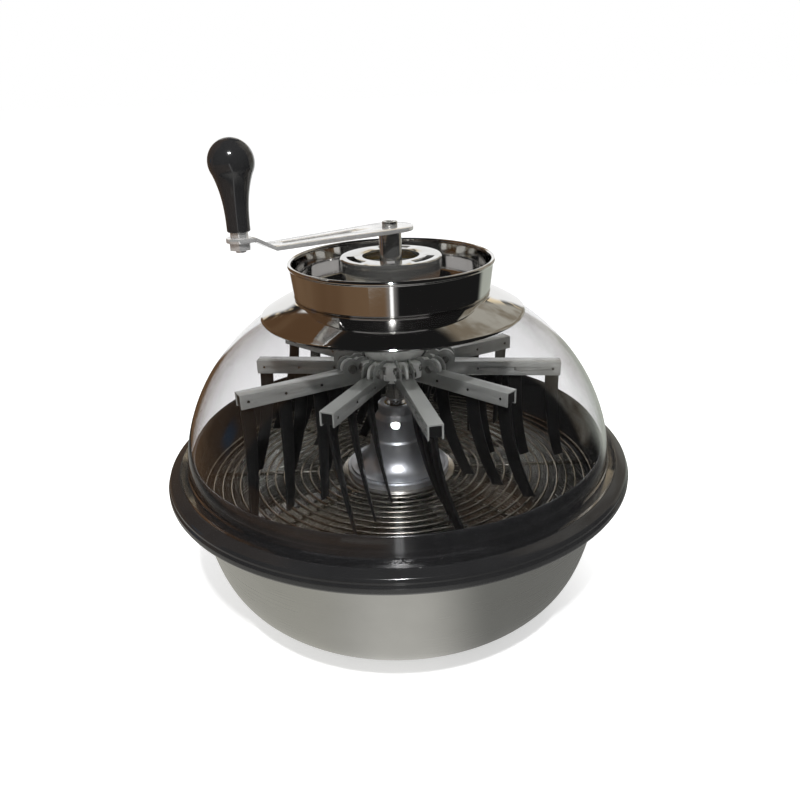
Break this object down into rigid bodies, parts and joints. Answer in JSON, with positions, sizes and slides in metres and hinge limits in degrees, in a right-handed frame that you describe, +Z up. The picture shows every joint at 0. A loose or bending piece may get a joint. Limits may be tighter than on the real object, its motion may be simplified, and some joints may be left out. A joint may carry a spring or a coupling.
{
  "type": "bowl leaf trimmer",
  "caption": "Hand-cranked bowl trimmer: steel bowl, wire grate over geared blades, clear dome lid with a finger rotor, polished cup, bearing boss and crank.",
  "frame": {"origin": "middle of the bowl's flat base, on the surface that it stands on", "axes": "+Z up along the crank shaft, +X to the right and -Y towards the person who turns the crank"},
  "size_m": [0.44, 0.44, 0.452],
  "materials": {
    "brushed_steel": "spun and brushed, soft sheen",
    "wire_steel": "polished wire, welded",
    "plain_steel": "bright turned steel",
    "blade_steel": "ground edges",
    "mirror_steel": "mirror polished stainless steel",
    "black_plastic": "glossy moulded plastic",
    "black_rubber": "smooth rubber",
    "clear_plastic": "clear gloss",
    "aluminium": "mill finish, slightly dull",
    "brass": "turned brass"
  },
  "bodies": {
    "bowl": {"bowl": "brushed_steel"},
    "deck": {"rim_ring": "black_plastic", "rim_seal": "black_rubber", "grate": "wire_steel", "gearbox_base": "plain_steel", "gearbox_cover": "mirror_steel", "gearbox_screws": "plain_steel", "ring_gear": "plain_steel", "input_bush_lower": "brass", "input_bush_upper": "brass", "blade_shaft_bush": "brass"},
    "drive": {"input_shaft": "plain_steel", "input_clip": "plain_steel", "planet_carrier": "plain_steel", "planet_pins": "plain_steel"},
    "planet_1": {"planet_gear_1": "brass"},
    "planet_2": {"planet_gear_2": "brass"},
    "planet_3": {"planet_gear_3": "brass"},
    "cutter": {"blade_shaft": "plain_steel", "blade_spacer": "plain_steel", "upper_blade": "blade_steel", "lower_blade": "blade_steel", "blade_washer": "plain_steel", "blade_nut": "plain_steel"},
    "lid": {"dome": "clear_plastic", "cup": "mirror_steel", "skirt": "mirror_steel", "skirt_seal": "black_rubber", "clamp_plate": "aluminium", "clamp_screws": "plain_steel", "bearing_housing": "aluminium", "boss": "mirror_steel", "shaft_bush_upper": "brass", "shaft_bush_lower": "brass"},
    "rotor": {"crank_shaft": "mirror_steel", "shaft_clip": "plain_steel", "crank_arm": "mirror_steel", "crank_screw": "plain_steel", "rotor_hub": "aluminium", "hub_pin": "plain_steel", "long_arms": "aluminium", "short_arms": "aluminium", "arm_screws": "plain_steel", "arm_nuts": "plain_steel", "outer_fingers": "black_rubber", "middle_fingers": "black_rubber", "inner_fingers": "black_rubber", "finger_pins": "plain_steel", "knob_spindle": "plain_steel", "knob_collar": "plain_steel", "knob_nut": "plain_steel"},
    "hand_knob": {"knob": "black_plastic"}
  },
  "joints": [
    {"name": "deck_lift", "type": "slide", "parent": "bowl", "child": "deck", "axis": [0, 0, 1], "range_m": [0, 0.1]},
    {"name": "lid_lift", "type": "slide", "parent": "deck", "child": "lid", "axis": [0, 0, 1], "range_m": [0, 0.12]},
    {"name": "crank_turn", "type": "hinge", "parent": "lid", "child": "rotor", "pos_m": [0, 0, 0.3], "axis": [0, 0, 1], "continuous": true},
    {"name": "knob_spin", "type": "hinge", "parent": "rotor", "child": "hand_knob", "pos_m": [-0.11632, -0.08145, 0.4], "axis": [0, 0, 1], "continuous": true},
    {"name": "drive_spin", "type": "hinge", "parent": "deck", "child": "drive", "pos_m": [0, 0, 0.17], "axis": [0, 0, 1], "continuous": true},
    {"name": "planet_1_spin", "type": "hinge", "parent": "drive", "child": "planet_1", "pos_m": [0.01875, 0, 0.138], "axis": [0, 0, 1], "continuous": true},
    {"name": "planet_2_spin", "type": "hinge", "parent": "drive", "child": "planet_2", "pos_m": [-0.00937, 0.01624, 0.138], "axis": [0, 0, 1], "continuous": true},
    {"name": "planet_3_spin", "type": "hinge", "parent": "drive", "child": "planet_3", "pos_m": [-0.00937, -0.01624, 0.138], "axis": [0, 0, 1], "continuous": true},
    {"name": "cutter_spin", "type": "hinge", "parent": "deck", "child": "cutter", "pos_m": [0, 0, 0.12], "axis": [0, 0, 1], "continuous": true}
  ],
  "couplings": [
    {"joint": "drive_spin", "follows": "crank_turn", "ratio": 1},
    {"joint": "planet_1_spin", "follows": "crank_turn", "ratio": -3},
    {"joint": "planet_2_spin", "follows": "crank_turn", "ratio": -3},
    {"joint": "planet_3_spin", "follows": "crank_turn", "ratio": -3},
    {"joint": "cutter_spin", "follows": "crank_turn", "ratio": 4}
  ]
}
